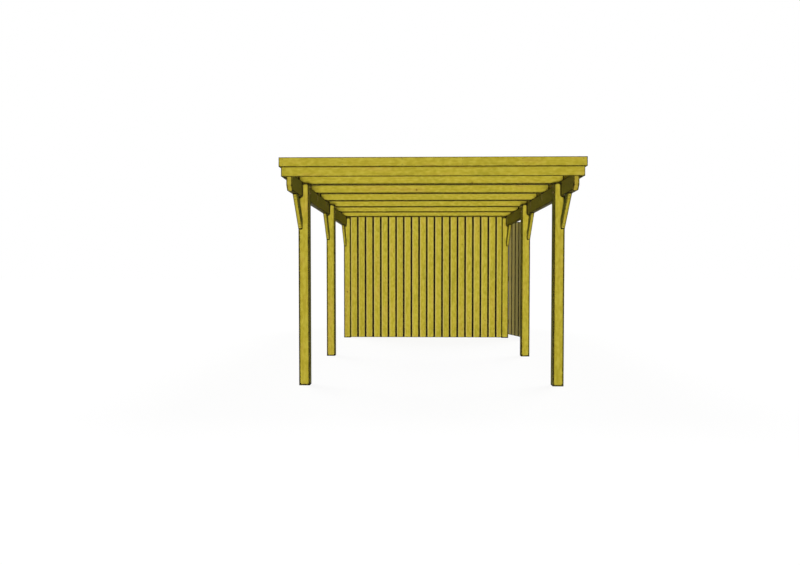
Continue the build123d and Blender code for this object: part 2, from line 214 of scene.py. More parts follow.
def pine_pattern():
    """The wood itself, with its painted light and shade, as a group. Wood is a place in metres, with Z along
    the timber and 0 at the heart.
    """
    group = bpy.data.node_groups.new("treated_pine", "ShaderNodeTree")
    for name in ("Wood", "End", "Sapwood", "Green", "UndersideShade", "PaintedPale", "GapShade", "Shade", "Arris"):
        kind = "NodeSocketVector" if name == "Wood" else "NodeSocketFloat"
        group.interface.new_socket(name, in_out="INPUT", socket_type=kind)
    for name, kind in (("Color", "NodeSocketColor"), ("Roughness", "NodeSocketFloat"),
                       ("Height", "NodeSocketFloat")):
        group.interface.new_socket(name, in_out="OUTPUT", socket_type=kind)
    given = add(group, "NodeGroupInput").outputs
    wood = given["Wood"]

    def stretched(across, along, detail):
        """Noise whose lumps are across wide and along long."""
        scaled = add(group, "ShaderNodeVectorMath", {0: wood, 1: (1 / across, 1 / across, 1 / along)},
                     operation="MULTIPLY")
        return add(group, "ShaderNodeTexNoise", {"Vector": scaled.outputs[0], "Scale": 1.0, "Detail": detail})

    def between(value, low, high, start, end):
        """A value eased from low to high, as a share from start to end."""
        return add(group, "ShaderNodeMapRange", {"Value": value, "From Min": low, "From Max": high,
                                                 "To Min": start, "To Max": end},
                   interpolation_type="SMOOTHSTEP").outputs[0]

    def towards(share, colour, code):
        """A colour turned by a share towards a second one."""
        return add(group, "ShaderNodeMix", {0: share, 6: colour, 7: srgb(code)}, data_type="RGBA").outputs[2]

    # Knots lie at scattered places, and the rings swell round them
    cells = add(group, "ShaderNodeVectorMath", {0: wood, 1: [1 / size for size in knot_spacing]},
                operation="MULTIPLY")
    nearest = add(group, "ShaderNodeTexVoronoi", {"Vector": cells.outputs[0], "Scale": 1.0})
    away = add(group, "ShaderNodeVectorMath", {0: cells.outputs[0], 1: nearest.outputs["Position"]},
               operation="SUBTRACT")
    away = add(group, "ShaderNodeVectorMath", {0: away.outputs[0], 1: knot_spacing}, operation="MULTIPLY")
    from_knot = add(group, "ShaderNodeVectorMath", {0: away.outputs[0]}, operation="LENGTH").outputs["Value"]
    swell = between(from_knot, 0.0, 5 * knot_radius, 2 * ring_width, 0.0)

    # Yearly rings round the heart: pale early wood, then a darker line of late wood
    crook = stretched(crook_width, crook_length, 2.0).outputs["Color"]
    crook = add(group, "ShaderNodeVectorMath", {0: crook, 1: (0.5, 0.5, 0.5)}, operation="SUBTRACT")
    crook = add(group, "ShaderNodeVectorMath", {0: crook.outputs[0], "Scale": 2 * ring_crook},
                operation="SCALE")
    bent = add(group, "ShaderNodeVectorMath", {0: wood, 1: crook.outputs[0]}, operation="ADD")
    level = add(group, "ShaderNodeVectorMath", {0: bent.outputs[0], 1: (1, 1, 0)}, operation="MULTIPLY")
    radius = add(group, "ShaderNodeVectorMath", {0: level.outputs[0]}, operation="LENGTH").outputs["Value"]
    radius = add(group, "ShaderNodeMath", {0: radius, 1: swell}, operation="ADD").outputs[0]
    years = add(group, "ShaderNodeMath", {0: radius, 1: ring_width}, operation="DIVIDE").outputs[0]
    season = add(group, "ShaderNodeMath", {0: years}, operation="FRACT").outputs[0]
    late = add(group, "ShaderNodeValToRGB", {"Fac": season})
    late.color_ramp.elements[0].position = late_wood_from
    late.color_ramp.elements[0].color = (0, 0, 0, 1)
    late.color_ramp.elements[1].position = late_wood_full
    late.color_ramp.elements[1].color = (1, 1, 1, 1)
    late.color_ramp.elements.new(late_wood_end).color = (0, 0, 0, 1)
    ring = add(group, "ShaderNodeMath", {0: late.outputs["Color"], 1: late_wood_share}, operation="MULTIPLY")
    ring = ring.outputs[0]

    # The treatment takes unevenly, in tan and olive clouds, in flecks and in streaks along the grain. Each
    # noise has its mean at a half, and turns the colour between the two values that are given.
    clouds = stretched(blotch_width, blotch_length, 3.0).outputs["Fac"]
    flecks = stretched(fleck_width, fleck_length, 1.0).outputs["Fac"]
    streaks = stretched(streak_width, streak_length, 2.0).outputs["Fac"]
    fibres = stretched(fibre_width, fibre_length, 1.0).outputs["Fac"]
    colour = towards(ring, srgb(pine_early), pine_late)
    colour = towards(between(clouds, 0.52, 0.72, 0.0, tan_share), colour, pine_tan)
    colour = towards(between(clouds, 0.48, 0.28, 0.0, olive_share), colour, pine_olive)
    colour = towards(between(flecks, 0.5, 0.68, 0.0, dark_fleck_share), colour, pine_late)
    colour = towards(between(flecks, 0.5, 0.32, 0.0, pale_fleck_share), colour, pine_pale)
    colour = towards(given["Sapwood"], colour, pine_sapwood)
    colour = towards(between(streaks, 0.5, 0.75, 0.0, streak_share), colour, pine_late)
    colour = towards(between(fibres, 0.45, 0.75, 0.0, fibre_share), colour, pine_late)
    knot = between(from_knot, 1.5 * knot_radius, 0.7 * knot_radius, 0.0, knot_share)
    colour = towards(knot, colour, pine_knot)
    end = add(group, "ShaderNodeMath", {0: given["End"], 1: end_share}, operation="MULTIPLY").outputs[0]
    colour = towards(end, colour, pine_end)
    # Painted light: the outer face of the door boards turns paler and greyer
    colour = towards(given["PaintedPale"], colour, pine_painted_pale)
    # Painted shade: faces that look along X turn dark olive
    colour = towards(given["Green"], colour, pine_side_shade)
    # Painted shade: undersides turn dark
    colour = towards(given["UndersideShade"], colour, pine_underside_shade)
    # Painted shade: the faces in the shadow gaps turn near black
    colour = towards(given["GapShade"], colour, pine_gap_shade)

    # Painted shade darkens the wood where one timber meets another, and along its eased edges as dark
    # outlines.
    # Open air is 1 over a free face and a half in a corner, and the look inwards is 1 where the wood is deep
    # and less near an edge.
    open_air = add(group, "ShaderNodeAmbientOcclusion", {"Distance": crevice_reach}, samples=8)
    crevice_shade = between(open_air.outputs["AO"], 0.8, 0.35, 0.0, crevice_share)
    colour = towards(crevice_shade, colour, pine_crevice_shade)
    inwards = add(group, "ShaderNodeAmbientOcclusion", {"Distance": given["Arris"]}, samples=8, inside=True,
                  only_local=True)
    edge_shade = between(inwards.outputs["AO"], 0.9, 0.74, 0.0, arris_share)
    colour = towards(edge_shade, colour, pine_edge_shade)
    shaded = add(group, "ShaderNodeVectorMath", {0: colour, "Scale": given["Shade"]}, operation="SCALE")

    rough = between(clouds, 0.3, 0.7, *pine_roughness)
    height = add(group, "ShaderNodeMath", {0: fibres, 1: ring}, operation="ADD").outputs[0]
    add(group, "NodeGroupOutput", {"Color": shaded.outputs[0], "Roughness": rough, "Height": height})
    return group


pine = pine_pattern()
pine_relief = 0.0006
pine_relief_strength = 0.5
pine_sheen = 0.06
square_on = 0.9

# Each board is cut from another place in the tree, and has a tone of its own
board_off_heart = 0.045
board_sideways = 0.09
board_onwards = 90.0
board_tones = (0.97, 1.04)
board_tone_turns = 17.0
sapwood_share = 0.85
outer_face_depth = 0.008


def treated_pine(name, turn=(0, 0, 0), heart=(0, 0, 0), shade=1.0, side_shade=0.0, underside_shade=0.0,
                 painted_pale=0.0, arris=timber_arris_reach, sapwood_band=None):
    """Planed, pressure-treated pine: dull sheen, pale rings with darker late wood, and a few small knots.

    A timber reads its own place, turned so that its length is Z. Boards carry their place on the face. The
    sides and undersides can take a painted shade, and the outer face of boards a paler, greyer painted light.
    """
    material = bpy.data.materials.new(name)
    material.use_nodes = True
    tree = material.node_tree
    tree.nodes.clear()
    place = add(tree, "ShaderNodeTexCoord")

    def facing(way, both_ways):
        """1 where the surface looks squarely one way, or against it too, and 0 elsewhere."""
        along = add(tree, "ShaderNodeVectorMath", {0: place.outputs["Normal"], 1: way},
                    operation="DOT_PRODUCT").outputs["Value"]
        if both_ways:
            along = add(tree, "ShaderNodeMath", {0: along}, operation="ABSOLUTE").outputs[0]
        return add(tree, "ShaderNodeMath", {0: along, 1: square_on}, operation="GREATER_THAN").outputs[0]

    def times(value, factor):
        """A value multiplied by a number."""
        return add(tree, "ShaderNodeMath", {0: value, 1: factor}, operation="MULTIPLY").outputs[0]

    if sapwood_band:
        board = add(tree, "ShaderNodeAttribute", attribute_name="board").outputs["Fac"]
        own = add(tree, "ShaderNodeAttribute", attribute_name="wood").outputs["Vector"]
        aside = add(tree, "ShaderNodeMapRange", {"Value": board, "To Min": -board_sideways,
                                                 "To Max": board_sideways}).outputs[0]
        jump = add(tree, "ShaderNodeCombineXYZ", {"X": aside, "Y": board_off_heart,
                                                  "Z": times(board, board_onwards)}).outputs[0]
        wood = add(tree, "ShaderNodeVectorMath", {0: own, 1: jump}, operation="ADD").outputs[0]
        gap_shade = add(tree, "ShaderNodeAttribute", attribute_name="gap_shade").outputs["Fac"]
        pick = add(tree, "ShaderNodeMath", {0: times(board, board_tone_turns)}, operation="FRACT").outputs[0]
        tone = add(tree, "ShaderNodeMapRange", {"Value": pick, "To Min": board_tones[0] * shade,
                                                "To Max": board_tones[1] * shade}).outputs[0]
        within = add(tree, "ShaderNodeSeparateXYZ", {0: own}).outputs
        outer = add(tree, "ShaderNodeMath", {0: within["Y"], 1: outer_face_depth}, operation="LESS_THAN")
        # The outer face of boards takes the paler painted light
        pale_face = times(outer.outputs[0], painted_pale)
        across = add(tree, "ShaderNodeMath", {0: within["X"]}, operation="ABSOLUTE").outputs[0]
        sapwood = add(tree, "ShaderNodeMapRange", {"Value": across, "From Min": sapwood_band[0],
                                                   "From Max": sapwood_band[1],
                                                   "To Max": sapwood_share}).outputs[0]
    else:
        wood = add(tree, "ShaderNodeMapping", {"Vector": place.outputs["Object"], "Location": heart,
                                               "Rotation": turn}, vector_type="TEXTURE").outputs[0]
        gap_shade = 0.0
        sapwood = 0.0
        pale_face = painted_pale
        tone = shade
    length = Vector((0, 0, 1))
    length.rotate(Euler(turn))
    grain = add(tree, "ShaderNodeGroup", {
        "Wood": wood,
        "End": facing(length, True),
        "Sapwood": sapwood,
        "Green": times(facing((1, 0, 0), True), side_shade),
        "UndersideShade": times(facing((0, 0, -1), False), underside_shade),
        "PaintedPale": pale_face,
        "GapShade": gap_shade,
        "Shade": tone,
        "Arris": arris,
    }, node_tree=pine).outputs
    relief = add(tree, "ShaderNodeBump", {"Height": grain["Height"], "Strength": pine_relief_strength,
                                          "Distance": pine_relief})
    surface = add(tree, "ShaderNodeBsdfPrincipled", {"Base Color": grain["Color"],
                                                     "Roughness": grain["Roughness"],
                                                     "Normal": relief.outputs[0],
                                                     "Specular IOR Level": pine_sheen})
    add(tree, "ShaderNodeOutputMaterial", {"Surface": surface.outputs[0]})
    return material


def finish(node, material):
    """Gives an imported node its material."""
    nodes[node].data.materials.clear()
    nodes[node].data.materials.append(material)


upright = (0, 0, 0)
along_beam = (-math.pi / 2, 0, 0)
across_drive = (0, math.pi / 2, 0)
from_heart = (0.02, 0.09)
timber_tones = (0.98, 1.03)
chance = random.Random(7)


def finish_timber(node, turn, shade=1.0, side_shade=0.0, underside_shade=0.0,
                  arris=timber_arris_reach):
    """Gives a packed timber its own piece of wood, with the heart of the tree just off its middle."""
    low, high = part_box(node)
    middle = (low + high) / 2
    heart = middle + Vector([chance.choice((-1, 1)) * chance.uniform(*from_heart) for _ in range(3)])
    wood = treated_pine(f"treated_pine_{node}", turn, heart, shade * chance.uniform(*timber_tones),
                        side_shade, underside_shade, arris=arris)
    finish(node, wood)


# The posts' sides take a strong painted shade
post_side_shade = 0.75
posts = [node for node in sorted(nodes) if node.startswith("post_")]
for node in posts:
    finish_timber(node, upright, side_shade=post_side_shade)


# Beams
# Two beams, 6 by 17 cm, run the length of the roof and are let into the outer sides of the posts. The
# roof falls 21 mm in each metre towards the back, and so do they. Their undersides are painted dark, and
# their sides dark olive, as painted shade.
roof_fall = 0.0209
beam_top_at_front = 2.256
beam_height = 0.17
front_of_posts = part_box("post_front_left")[0].y
beam_side_shade = 0.62
beam_arris_reach = 0.02
underside_shade_share = 0.8
for node in ("beam_left", "beam_right"):
    finish_timber(node, along_beam, side_shade=beam_side_shade, underside_shade=underside_shade_share, arris=beam_arris_reach)


def roof_height(y, offset=0.0):
    """Height of the plane that lies offset above the tops of the beams, at a place along the carport."""
    return beam_top_at_front - roof_fall * (y - front_of_posts) + offset / math.cos(math.atan(roof_fall))


roughness_play = 0.08


def plain_material(name, colour, second, patch, metallic, roughness, relief):
    """A surface of one colour, clouded by a second in patches of the given size."""
    material = bpy.data.materials.new(name)
    material.use_nodes = True
    tree = material.node_tree
    tree.nodes.clear()
    place = add(tree, "ShaderNodeTexCoord").outputs["Object"]
    clouds = add(tree, "ShaderNodeTexNoise", {"Vector": place, "Scale": 1 / patch, "Detail": 4.0})
    mixed = add(tree, "ShaderNodeMix", {0: clouds.outputs["Fac"], 6: srgb(colour), 7: srgb(second)},
                data_type="RGBA")
    rough = add(tree, "ShaderNodeMapRange", {"Value": clouds.outputs["Fac"],
                                             "To Min": roughness - roughness_play,
                                             "To Max": roughness + roughness_play})
    bump = add(tree, "ShaderNodeBump", {"Height": clouds.outputs["Fac"], "Strength": 0.4, "Distance": relief})
    surface = add(tree, "ShaderNodeBsdfPrincipled", {"Base Color": mixed.outputs[2], "Metallic": metallic,
                                                     "Roughness": rough.outputs[0],
                                                     "Normal": bump.outputs[0]})
    add(tree, "ShaderNodeOutputMaterial", {"Surface": surface.outputs[0]})
    return material


# The bolts go right through: a domed head outside on the beam, a washer and nut inside on the post. They
# and all the screws are zinc-plated and passivated yellow, a dull brass near the colour of the wood.
bolt_heights = (0.045, 0.115)
bolt_stagger = 0.02
bolt_dome = [(16, [(0.0123, -0.001), (0.0123, 0.0006), (0.0108, 0.0028), (0.0072, 0.0046), (0.0025, 0.0054)])]
bolt_nut = [(20, [(0.017, -0.001), (0.017, 0.0027), (0.0165, 0.003)]),
            (6, [(0.0098, 0.002), (0.0098, 0.0102), (0.0086, 0.011)]),
            (12, [(0.005, 0.01), (0.005, 0.0145), (0.0042, 0.0155)])]
yellow_zinc = plain_material("yellow_zinc_plate", "#85743C", "#6B5F38", patch=0.004, metallic=1.0,
                             roughness=0.6, relief=0.0)


def turned(name, stacks):
    """A fitting turned round Z. Each stack has a number of sides, and rings given by radius and height."""
    points = []
    faces = []
    for sides, rings in stacks:
        for radius, height in rings:
            points += [(radius * math.cos(math.tau * side / sides),
                        radius * math.sin(math.tau * side / sides), height) for side in range(sides)]
        first = len(points) - sides * len(rings)
        for ring in range(len(rings) - 1):
            start = first + ring * sides
            faces += [(start + side, start + (side + 1) % sides, start + (side + 1) % sides + sides,
                       start + side + sides) for side in range(sides)]
        faces.append(tuple(reversed(range(first, first + sides))))
        faces.append(tuple(range(len(points) - sides, len(points))))
    mesh = bpy.data.meshes.new(name)
    mesh.from_pydata(points, [], faces)
    return bpy.data.objects.new(name, mesh)


def fixing_tree():
    """Sets one fitting on every point, its Z along the point's facing, with a turn of its own about that."""
    tree = bpy.data.node_groups.new("fixings", "GeometryNodeTree")
    for name, kind in (("Places", "NodeSocketGeometry"), ("Fitting", "NodeSocketObject"),
                       ("Spin", "NodeSocketFloat"), ("Seed", "NodeSocketInt"),
                       ("Material", "NodeSocketMaterial")):
        tree.interface.new_socket(name, in_out="INPUT", socket_type=kind)
    tree.interface.new_socket("Fixings", in_out="OUTPUT", socket_type="NodeSocketGeometry")
    given = add(tree, "NodeGroupInput").outputs
    way = add(tree, "GeometryNodeInputNamedAttribute", {"Name": "facing"}, data_type="FLOAT_VECTOR")
    aimed = add(tree, "FunctionNodeAlignRotationToVector", {"Vector": way.outputs[0]}, axis="Z")
    angle = add(tree, "FunctionNodeRandomValue", {3: given["Spin"], "Seed": given["Seed"]}, data_type="FLOAT")
    spin = add(tree, "FunctionNodeAxisAngleToRotation", {"Axis": (0, 0, 1), "Angle": angle.outputs[1]})
    both = add(tree, "FunctionNodeRotateRotation", {"Rotation": aimed.outputs[0],
                                                    "Rotate By": spin.outputs[0]}, rotation_space="LOCAL")
    fitting = add(tree, "GeometryNodeObjectInfo", {"Object": given["Fitting"]}, transform_space="ORIGINAL")
    cloud = add(tree, "GeometryNodeMeshToPoints", {"Mesh": given["Places"]})
    placed = add(tree, "GeometryNodeInstanceOnPoints", {"Points": cloud.outputs[0],
                                                        "Rotation": both.outputs[0],
                                                        "Instance": fitting.outputs["Geometry"]})
    real = add(tree, "GeometryNodeRealizeInstances", {"Geometry": placed.outputs[0]})
    done = add(tree, "GeometryNodeSetMaterial", {"Geometry": real.outputs[0], "Material": given["Material"]})
    add(tree, "NodeGroupOutput", {0: done.outputs[0]})
    return tree


def built(piece, tree, values):
    """Runs a tree of geometry nodes on a piece and leaves its result as the piece's plain mesh."""
    run = piece.modifiers.new(tree.name, "NODES")
    run.node_group = tree
    for socket in tree.interface.items_tree:
        if socket.in_out == "INPUT" and socket.name in values:
            run[socket.identifier] = values[socket.name]
    graph = bpy.context.evaluated_depsgraph_get()
    mesh = bpy.data.meshes.new_from_object(piece.evaluated_get(graph), preserve_all_data_layers=True,
                                           depsgraph=graph)
    piece.modifiers.clear()
    piece.data = mesh


fixing = fixing_tree()


def fixings(name, fitting, places, material, body="carport", spin=math.tau, turn=None):
    """One fitting at each place, given as a point and the way it faces, as one piece on a body."""
    mesh = bpy.data.meshes.new(name)
    mesh.from_pydata([point for point, way in places], [], [])
    facing = mesh.attributes.new("facing", "FLOAT_VECTOR", "POINT")
    facing.data.foreach_set("vector", [value for point, way in places for value in way])
    piece = bpy.data.objects.new(name, mesh)
    bpy.context.scene.collection.objects.link(piece)
    built(piece, fixing, {"Fitting": fitting, "Spin": spin, "Seed": len(places), "Material": material})
    if turn:
        piece.data.transform(turn)
    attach(piece, body)


domes = []
nuts = []
for node in posts:
    side = node.split("_")[-1]
    outward = -1 if side == "left" else 1
    low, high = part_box(node)
    beam_low, beam_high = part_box(f"beam_{side}")
    outer = beam_low.x if side == "left" else beam_high.x
    inner = high.x if side == "left" else low.x
    for number, height in enumerate(bolt_heights):
        y = (low.y + high.y) / 2 + bolt_stagger * (2 * number - 1)
        z = roof_height(y, -beam_height) + height
        domes.append(((outer, y, z), (outward, 0, 0)))
        nuts.append(((inner, y, z), (-outward, 0, 0)))
fixings("coach_bolts", turned("bolt_dome", bolt_dome), domes, yellow_zinc)
fixings("bolt_nuts", turned("bolt_nut", bolt_nut), nuts, yellow_zinc)


# Braces
# Six braces of the same pine, 4.5 by 9 cm, are mitred between each open post's front and the beam.
up_the_brace = (math.pi / 4, 0, 0)
# Painted light: the braces' wood is lighter for their faces that slope away from the front lamp, and their
# sides take a dark olive painted shade
brace_painted_light = 1.1
brace_side_shade = 0.92
brace_arris_reach = 0.016
braces = [node for node in sorted(nodes) if node.startswith("brace_")]
for node in braces:
    finish_timber(node, up_the_brace, shade=brace_painted_light, side_shade=brace_side_shade, arris=brace_arris_reach)

# Each end is held by two long screws, let into the brace's lower face
brace_screw_from_end = (0.045, 0.085)
washer_screw = [(14, [(0.006, -0.001), (0.006, 0.0008), (0.0052, 0.0016), (0.0026, 0.0016)]),
                (6, [(0.0024, 0.0017), (0.002, 0.0004)])]
down_forward = Vector((0, -1, -1)).normalized()
places = []
for node in braces:
    low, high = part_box(node)
    toe = Vector(((low.x + high.x) / 2, high.y, low.z))
    tip = Vector(((low.x + high.x) / 2, low.y, low.z + high.y - low.y))
    along = (tip - toe).normalized()
    for step in brace_screw_from_end:
        places.append((toe + along * step, down_forward))
        places.append((tip - along * step, down_forward))
fixings("brace_screws", turned("washer_screw", washer_screw), places, yellow_zinc)


# Rafters
# Ten rafters of the same pine, 6 by 12 cm, lie across the beams and are notched over them.
rafters = [f"rafter_{number}" for number in range(1, 11)]
for node in rafters:
    # The rafters' undersides take the painted shade too
    finish_timber(node, across_drive, underside_shade=underside_shade_share)

# A twisted anchor of yellow zinc-plated steel ties each rafter to the beam: one leg on the rafter's back,
# one on the beam's inner face, nailed through both.
anchor_leg = 0.032
anchor_metal = 0.002
anchor_up = 0.09
anchor_down = 0.095
anchor_lap = 0.015
rafter_above_beam = 0.11
nail_inset = 0.02
nail_heights = (0.035, 0.055, 0.075)
nail_head = [(10, [(0.004, -0.001), (0.004, 0.0005), (0.0028, 0.0011)])]


def flat_faced(name, points, faces):
    """An object of flat faces, all turned to look outwards."""
    mesh = bpy.data.meshes.new(name)
    mesh.from_pydata(points, [], faces)
    shape = bmesh.new()
    shape.from_mesh(mesh)
    bmesh.ops.recalc_face_normals(shape, faces=shape.faces)
    shape.to_mesh(mesh)
    shape.free()
    return bpy.data.objects.new(name, mesh)


def anchor(name, inward):
    """The anchor with its fold on Z, the rafter's leg along X to the inward side and the beam's along Y."""
    flat = anchor_metal * inward
    reach = anchor_leg * inward
    rafter_leg = [(0, -anchor_lap), (reach, 2 * anchor_lap), (reach, anchor_up), (0, anchor_up)]
    beam_leg = [(0, -anchor_down), (anchor_leg, -anchor_down), (anchor_leg, -2 * anchor_lap), (0, anchor_lap)]
    points = [(x, y, z) for y in (0, anchor_metal) for x, z in rafter_leg]
    points += [(x, y, z) for x in (0, flat) for y, z in beam_leg]
    faces = []
    for first in (0, 2 * len(rafter_leg)):
        faces += [(first, first + 1, first + 2, first + 3), (first + 4, first + 5, first + 6, first + 7)]
        faces += [(first + i, first + (i + 1) % 4, first + (i + 1) % 4 + 4, first + i + 4) for i in range(4)]
    return flat_faced(name, points, faces)


anchor_nails = []
for side, inward in (("left", 1), ("right", -1)):
    beam_low, beam_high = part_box(f"beam_{side}")
    face = beam_high.x if side == "left" else beam_low.x
    corners = []
    for node in rafters[1:]:
        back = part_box(node)[1].y - rafter_above_beam * roof_fall
        corner = Vector((face, back, roof_height(back)))
        corners.append((corner, (0, roof_fall, 1)))
        for up in nail_heights:
            in_rafter = Vector((inward * nail_inset, anchor_metal + up * roof_fall, up))
            in_beam = Vector((inward * anchor_metal, nail_inset, -up))
            anchor_nails.append((corner + in_rafter, (0, 1, 0)))
            anchor_nails.append((corner + in_beam, (inward, 0, 0)))
    fixings(f"rafter_anchors_{side}", anchor("anchor", inward), corners, yellow_zinc, spin=0.0)
fixings("anchor_nails", turned("nail_head", nail_head), anchor_nails, yellow_zinc)


# Fascia
# Two rows of planed boards of the same pine close the edge of the roof, the upper row fixed over the
# lower one.
for row in ("lower", "upper"):
    for side in ("front", "rear", "left", "right"):
        turn = across_drive if side in ("front", "rear") else along_beam
        # The fascia boards' undersides take the painted shade too
        finish_timber(f"{row}_fascia_{side}", turn, underside_shade=underside_shade_share,
                      arris=board_arris_reach)

# Flat-headed screws hold both rows to each rafter's ends, and the upper row every 60 cm at front and rear
fascia_screw = [(12, [(0.0042, -0.001), (0.0042, 0.0001), (0.0036, 0.0002), (0.0018, 0.0002)]),
                (6, [(0.0018, 0.00025), (0.0014, 0.0001)])]
fascia_screw_spacing = 0.6
upper_screw_heights = (0.075, 0.13)
lower_screw_height = 0.01
places = []
low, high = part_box("rafter_1")
for side, way in (("left", -1), ("right", 1)):
    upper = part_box(f"upper_fascia_{side}")
    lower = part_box(f"lower_fascia_{side}")
    for node in rafters:
        rafter_low, rafter_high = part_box(node)
        y = (rafter_low.y + rafter_high.y) / 2
        face = upper[0].x if side == "left" else upper[1].x
        for height in upper_screw_heights:
            places.append(((face, y, roof_height(y, height)), (way, 0, 0)))
        face = lower[0].x if side == "left" else lower[1].x
        places.append(((face, y, roof_height(y, lower_screw_height)), (way, 0, 0)))
for side, way in (("front", -1), ("rear", 1)):
    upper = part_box(f"upper_fascia_{side}")
    pairs = int((high.x - low.x) / fascia_screw_spacing) + 1
    for number in range(pairs):
        x = (low.x + high.x) / 2 + (number - (pairs - 1) / 2) * fascia_screw_spacing
        for height in upper_screw_heights:
            z = roof_height(upper[0].y, height)
            if side == "front":
                face = upper[0].y + (z - upper[0].z) * roof_fall
            else:
                face = upper[1].y - (upper[1].z - z) * roof_fall
            places.append(((x, face, z), (0, way, 0)))
fixings("fascia_screws", turned("fascia_screw", fascia_screw), places, yellow_zinc)


# Store walls
# Tongued and grooved boards, 136 mm wide as laid and 20 mm thick, stand upright between the posts. A
# square shadow gap is cut beside each tongue. The boards are of the same pine, with paler sapwood at both
# edges, and the faces in the gaps are painted near black as painted shade.
cover_width = 0.136
gap_width = 0.018
gap_depth = 0.010
board_arris = 0.0015
tongue_length = 0.006
tongue_thickness = 0.005
tongue_play = 0.0004
least_board = 0.001
weld_distance = 0.00005
wall_sapwood = (0.036, 0.050)


def boards_in(length, pitch):
    """How many boards fill a length, with the last one trimmed. A thousandth of a board is left off."""
    return math.ceil(length / pitch - least_board)


def even_pitch(length):
    """The width as laid that fills a length with whole boards."""
    return length / round(length / cover_width)


def board_outline(width, thickness):
    """A board's section from its left edge: outer face at 0, and shadow gap and tongue at the right."""
    face_end = width - gap_width
    tongue_back = gap_depth + tongue_thickness
    groove = tongue_length + tongue_play
    return [
        (0, board_arris),
        (board_arris, 0),
        (face_end - board_arris, 0),
        (face_end, board_arris),
        (face_end, gap_depth),
        (width + tongue_length, gap_depth),
        (width + tongue_length, tongue_back),
        (width - tongue_play, tongue_back),
        (width - tongue_play, thickness - board_arris),
        (width - tongue_play - board_arris, thickness),
        (board_arris, thickness),
        (0, thickness - board_arris),
        (0, tongue_back + tongue_play),
        (groove, tongue_back + tongue_play),
        (groove, gap_depth - tongue_play),
        (0, gap_depth - tongue_play),
    ]


def board_blank(name, width, thickness, bottom, top):
    """One board standing with its left outer edge on the origin, with its place in the wood on its points."""
    outline = board_outline(width, thickness)
    points = [(u, t, z) for z in (bottom, top) for u, t in outline]
    count = len(outline)
    sides = [(i, (i + 1) % count, (i + 1) % count + count, i + count) for i in range(count)]
    ends = [tuple(reversed(range(count))), tuple(range(count, 2 * count))]
    gap_sides = (3, 4, count - 1)
    mesh = bpy.data.meshes.new(name)
    mesh.from_pydata(points, [], sides + ends)
    wood = mesh.attributes.new("wood", "FLOAT_VECTOR", "POINT")
    wood.data.foreach_set("vector", [value for u, t, z in points for value in (u - width / 2, t, z)])
    # The faces in the shadow gap are marked for their painted shade
    gap_shade = mesh.attributes.new("gap_shade", "FLOAT", "FACE")
    in_the_gap = [1.0 if i in gap_sides else 0.0 for i in range(count)]
    gap_shade.data.foreach_set("value", in_the_gap + [0.0, 0.0])
    blank = bpy.data.objects.new(name, mesh)
    bpy.context.scene.collection.objects.link(blank)
    return blank


def boarding_tree():
    """Lays boards side by side along X, trims the last to length and cuts the tops to a slope."""
    tree = bpy.data.node_groups.new("boarding", "GeometryNodeTree")
    for name, kind in (("Board", "NodeSocketGeometry"), ("Count", "NodeSocketInt"),
                       ("Pitch", "NodeSocketFloat"), ("Length", "NodeSocketFloat"),
                       ("Fall", "NodeSocketFloat"), ("Middle", "NodeSocketFloat"), ("Seed", "NodeSocketInt"),
                       ("Material", "NodeSocketMaterial")):
        tree.interface.new_socket(name, in_out="INPUT", socket_type=kind)
    tree.interface.new_socket("Boards", in_out="OUTPUT", socket_type="NodeSocketGeometry")
    given = add(tree, "NodeGroupInput").outputs
    step = add(tree, "ShaderNodeCombineXYZ", {"X": given["Pitch"]})
    line = add(tree, "GeometryNodeMeshLine", {"Count": given["Count"], "Offset": step.outputs[0]},
               mode="OFFSET")
    laid = add(tree, "GeometryNodeInstanceOnPoints", {"Points": line.outputs[0], "Instance": given["Board"]})
    pick = add(tree, "FunctionNodeRandomValue", {"Seed": given["Seed"]}, data_type="FLOAT")
    named = add(tree, "GeometryNodeStoreNamedAttribute", {"Geometry": laid.outputs[0], "Name": "board",
                                                          "Value": pick.outputs[1]},
                data_type="FLOAT", domain="INSTANCE")
    real = add(tree, "GeometryNodeRealizeInstances", {"Geometry": named.outputs[0]})
    at = add(tree, "ShaderNodeSeparateXYZ", {0: add(tree, "GeometryNodeInputPosition").outputs[0]}).outputs
    trimmed = add(tree, "ShaderNodeMath", {0: at["X"], 1: given["Length"]}, operation="MINIMUM")
    is_top = add(tree, "ShaderNodeMath", {0: at["Z"], 1: given["Middle"]}, operation="GREATER_THAN")
    drop = add(tree, "ShaderNodeMath", {0: trimmed.outputs[0], 1: given["Fall"]}, operation="MULTIPLY")
    drop = add(tree, "ShaderNodeMath", {0: drop.outputs[0], 1: is_top.outputs[0]}, operation="MULTIPLY")
    cut = add(tree, "ShaderNodeMath", {0: at["Z"], 1: drop.outputs[0]}, operation="SUBTRACT")
    place = add(tree, "ShaderNodeCombineXYZ", {"X": trimmed.outputs[0], "Y": at["Y"], "Z": cut.outputs[0]})
    moved = add(tree, "GeometryNodeSetPosition", {"Geometry": real.outputs[0], "Position": place.outputs[0]})
    clean = add(tree, "GeometryNodeMergeByDistance", {"Geometry": moved.outputs[0],
                                                       "Distance": weld_distance})
    done = add(tree, "GeometryNodeSetMaterial", {"Geometry": clean.outputs[0], "Material": given["Material"]})
    add(tree, "NodeGroupOutput", {0: done.outputs[0]})
    return tree


boarding = boarding_tree()
wall_pine = treated_pine("treated_pine_boards", arris=board_arris_reach, sapwood_band=wall_sapwood)


